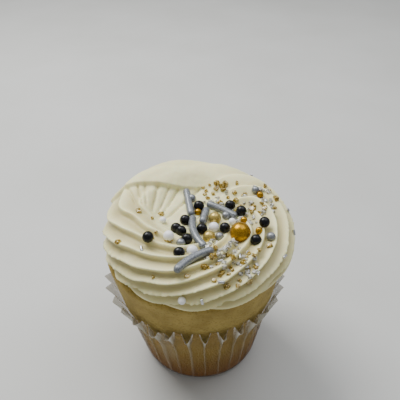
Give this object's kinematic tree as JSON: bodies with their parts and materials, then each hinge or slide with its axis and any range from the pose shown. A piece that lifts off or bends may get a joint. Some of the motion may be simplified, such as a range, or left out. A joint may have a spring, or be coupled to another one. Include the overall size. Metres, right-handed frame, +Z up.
{
  "type": "cupcake",
  "caption": "Vanilla cupcake in a pleated paper case, with a thick piped swirl of ivory buttercream topped with pearls, rods and sugar crystals.",
  "frame": {"origin": "middle of the case's flat bottom, on the surface that it stands on", "axes": "+Z up; -Y towards the front, from which the picture looks; +X to the right"},
  "size_m": [0.0726, 0.0724, 0.0745],
  "materials": {
    "case_paper": "greaseproof baking paper, translucent where it has taken up fat",
    "sponge_crumb": "baked vanilla sponge, matt and finely porous",
    "buttercream": "piped ivory buttercream, soft sheen"
  },
  "bodies": {
    "root": {"paper_case": "case_paper", "sponge": "sponge_crumb", "icing": "buttercream"}
  },
  "joints": []
}
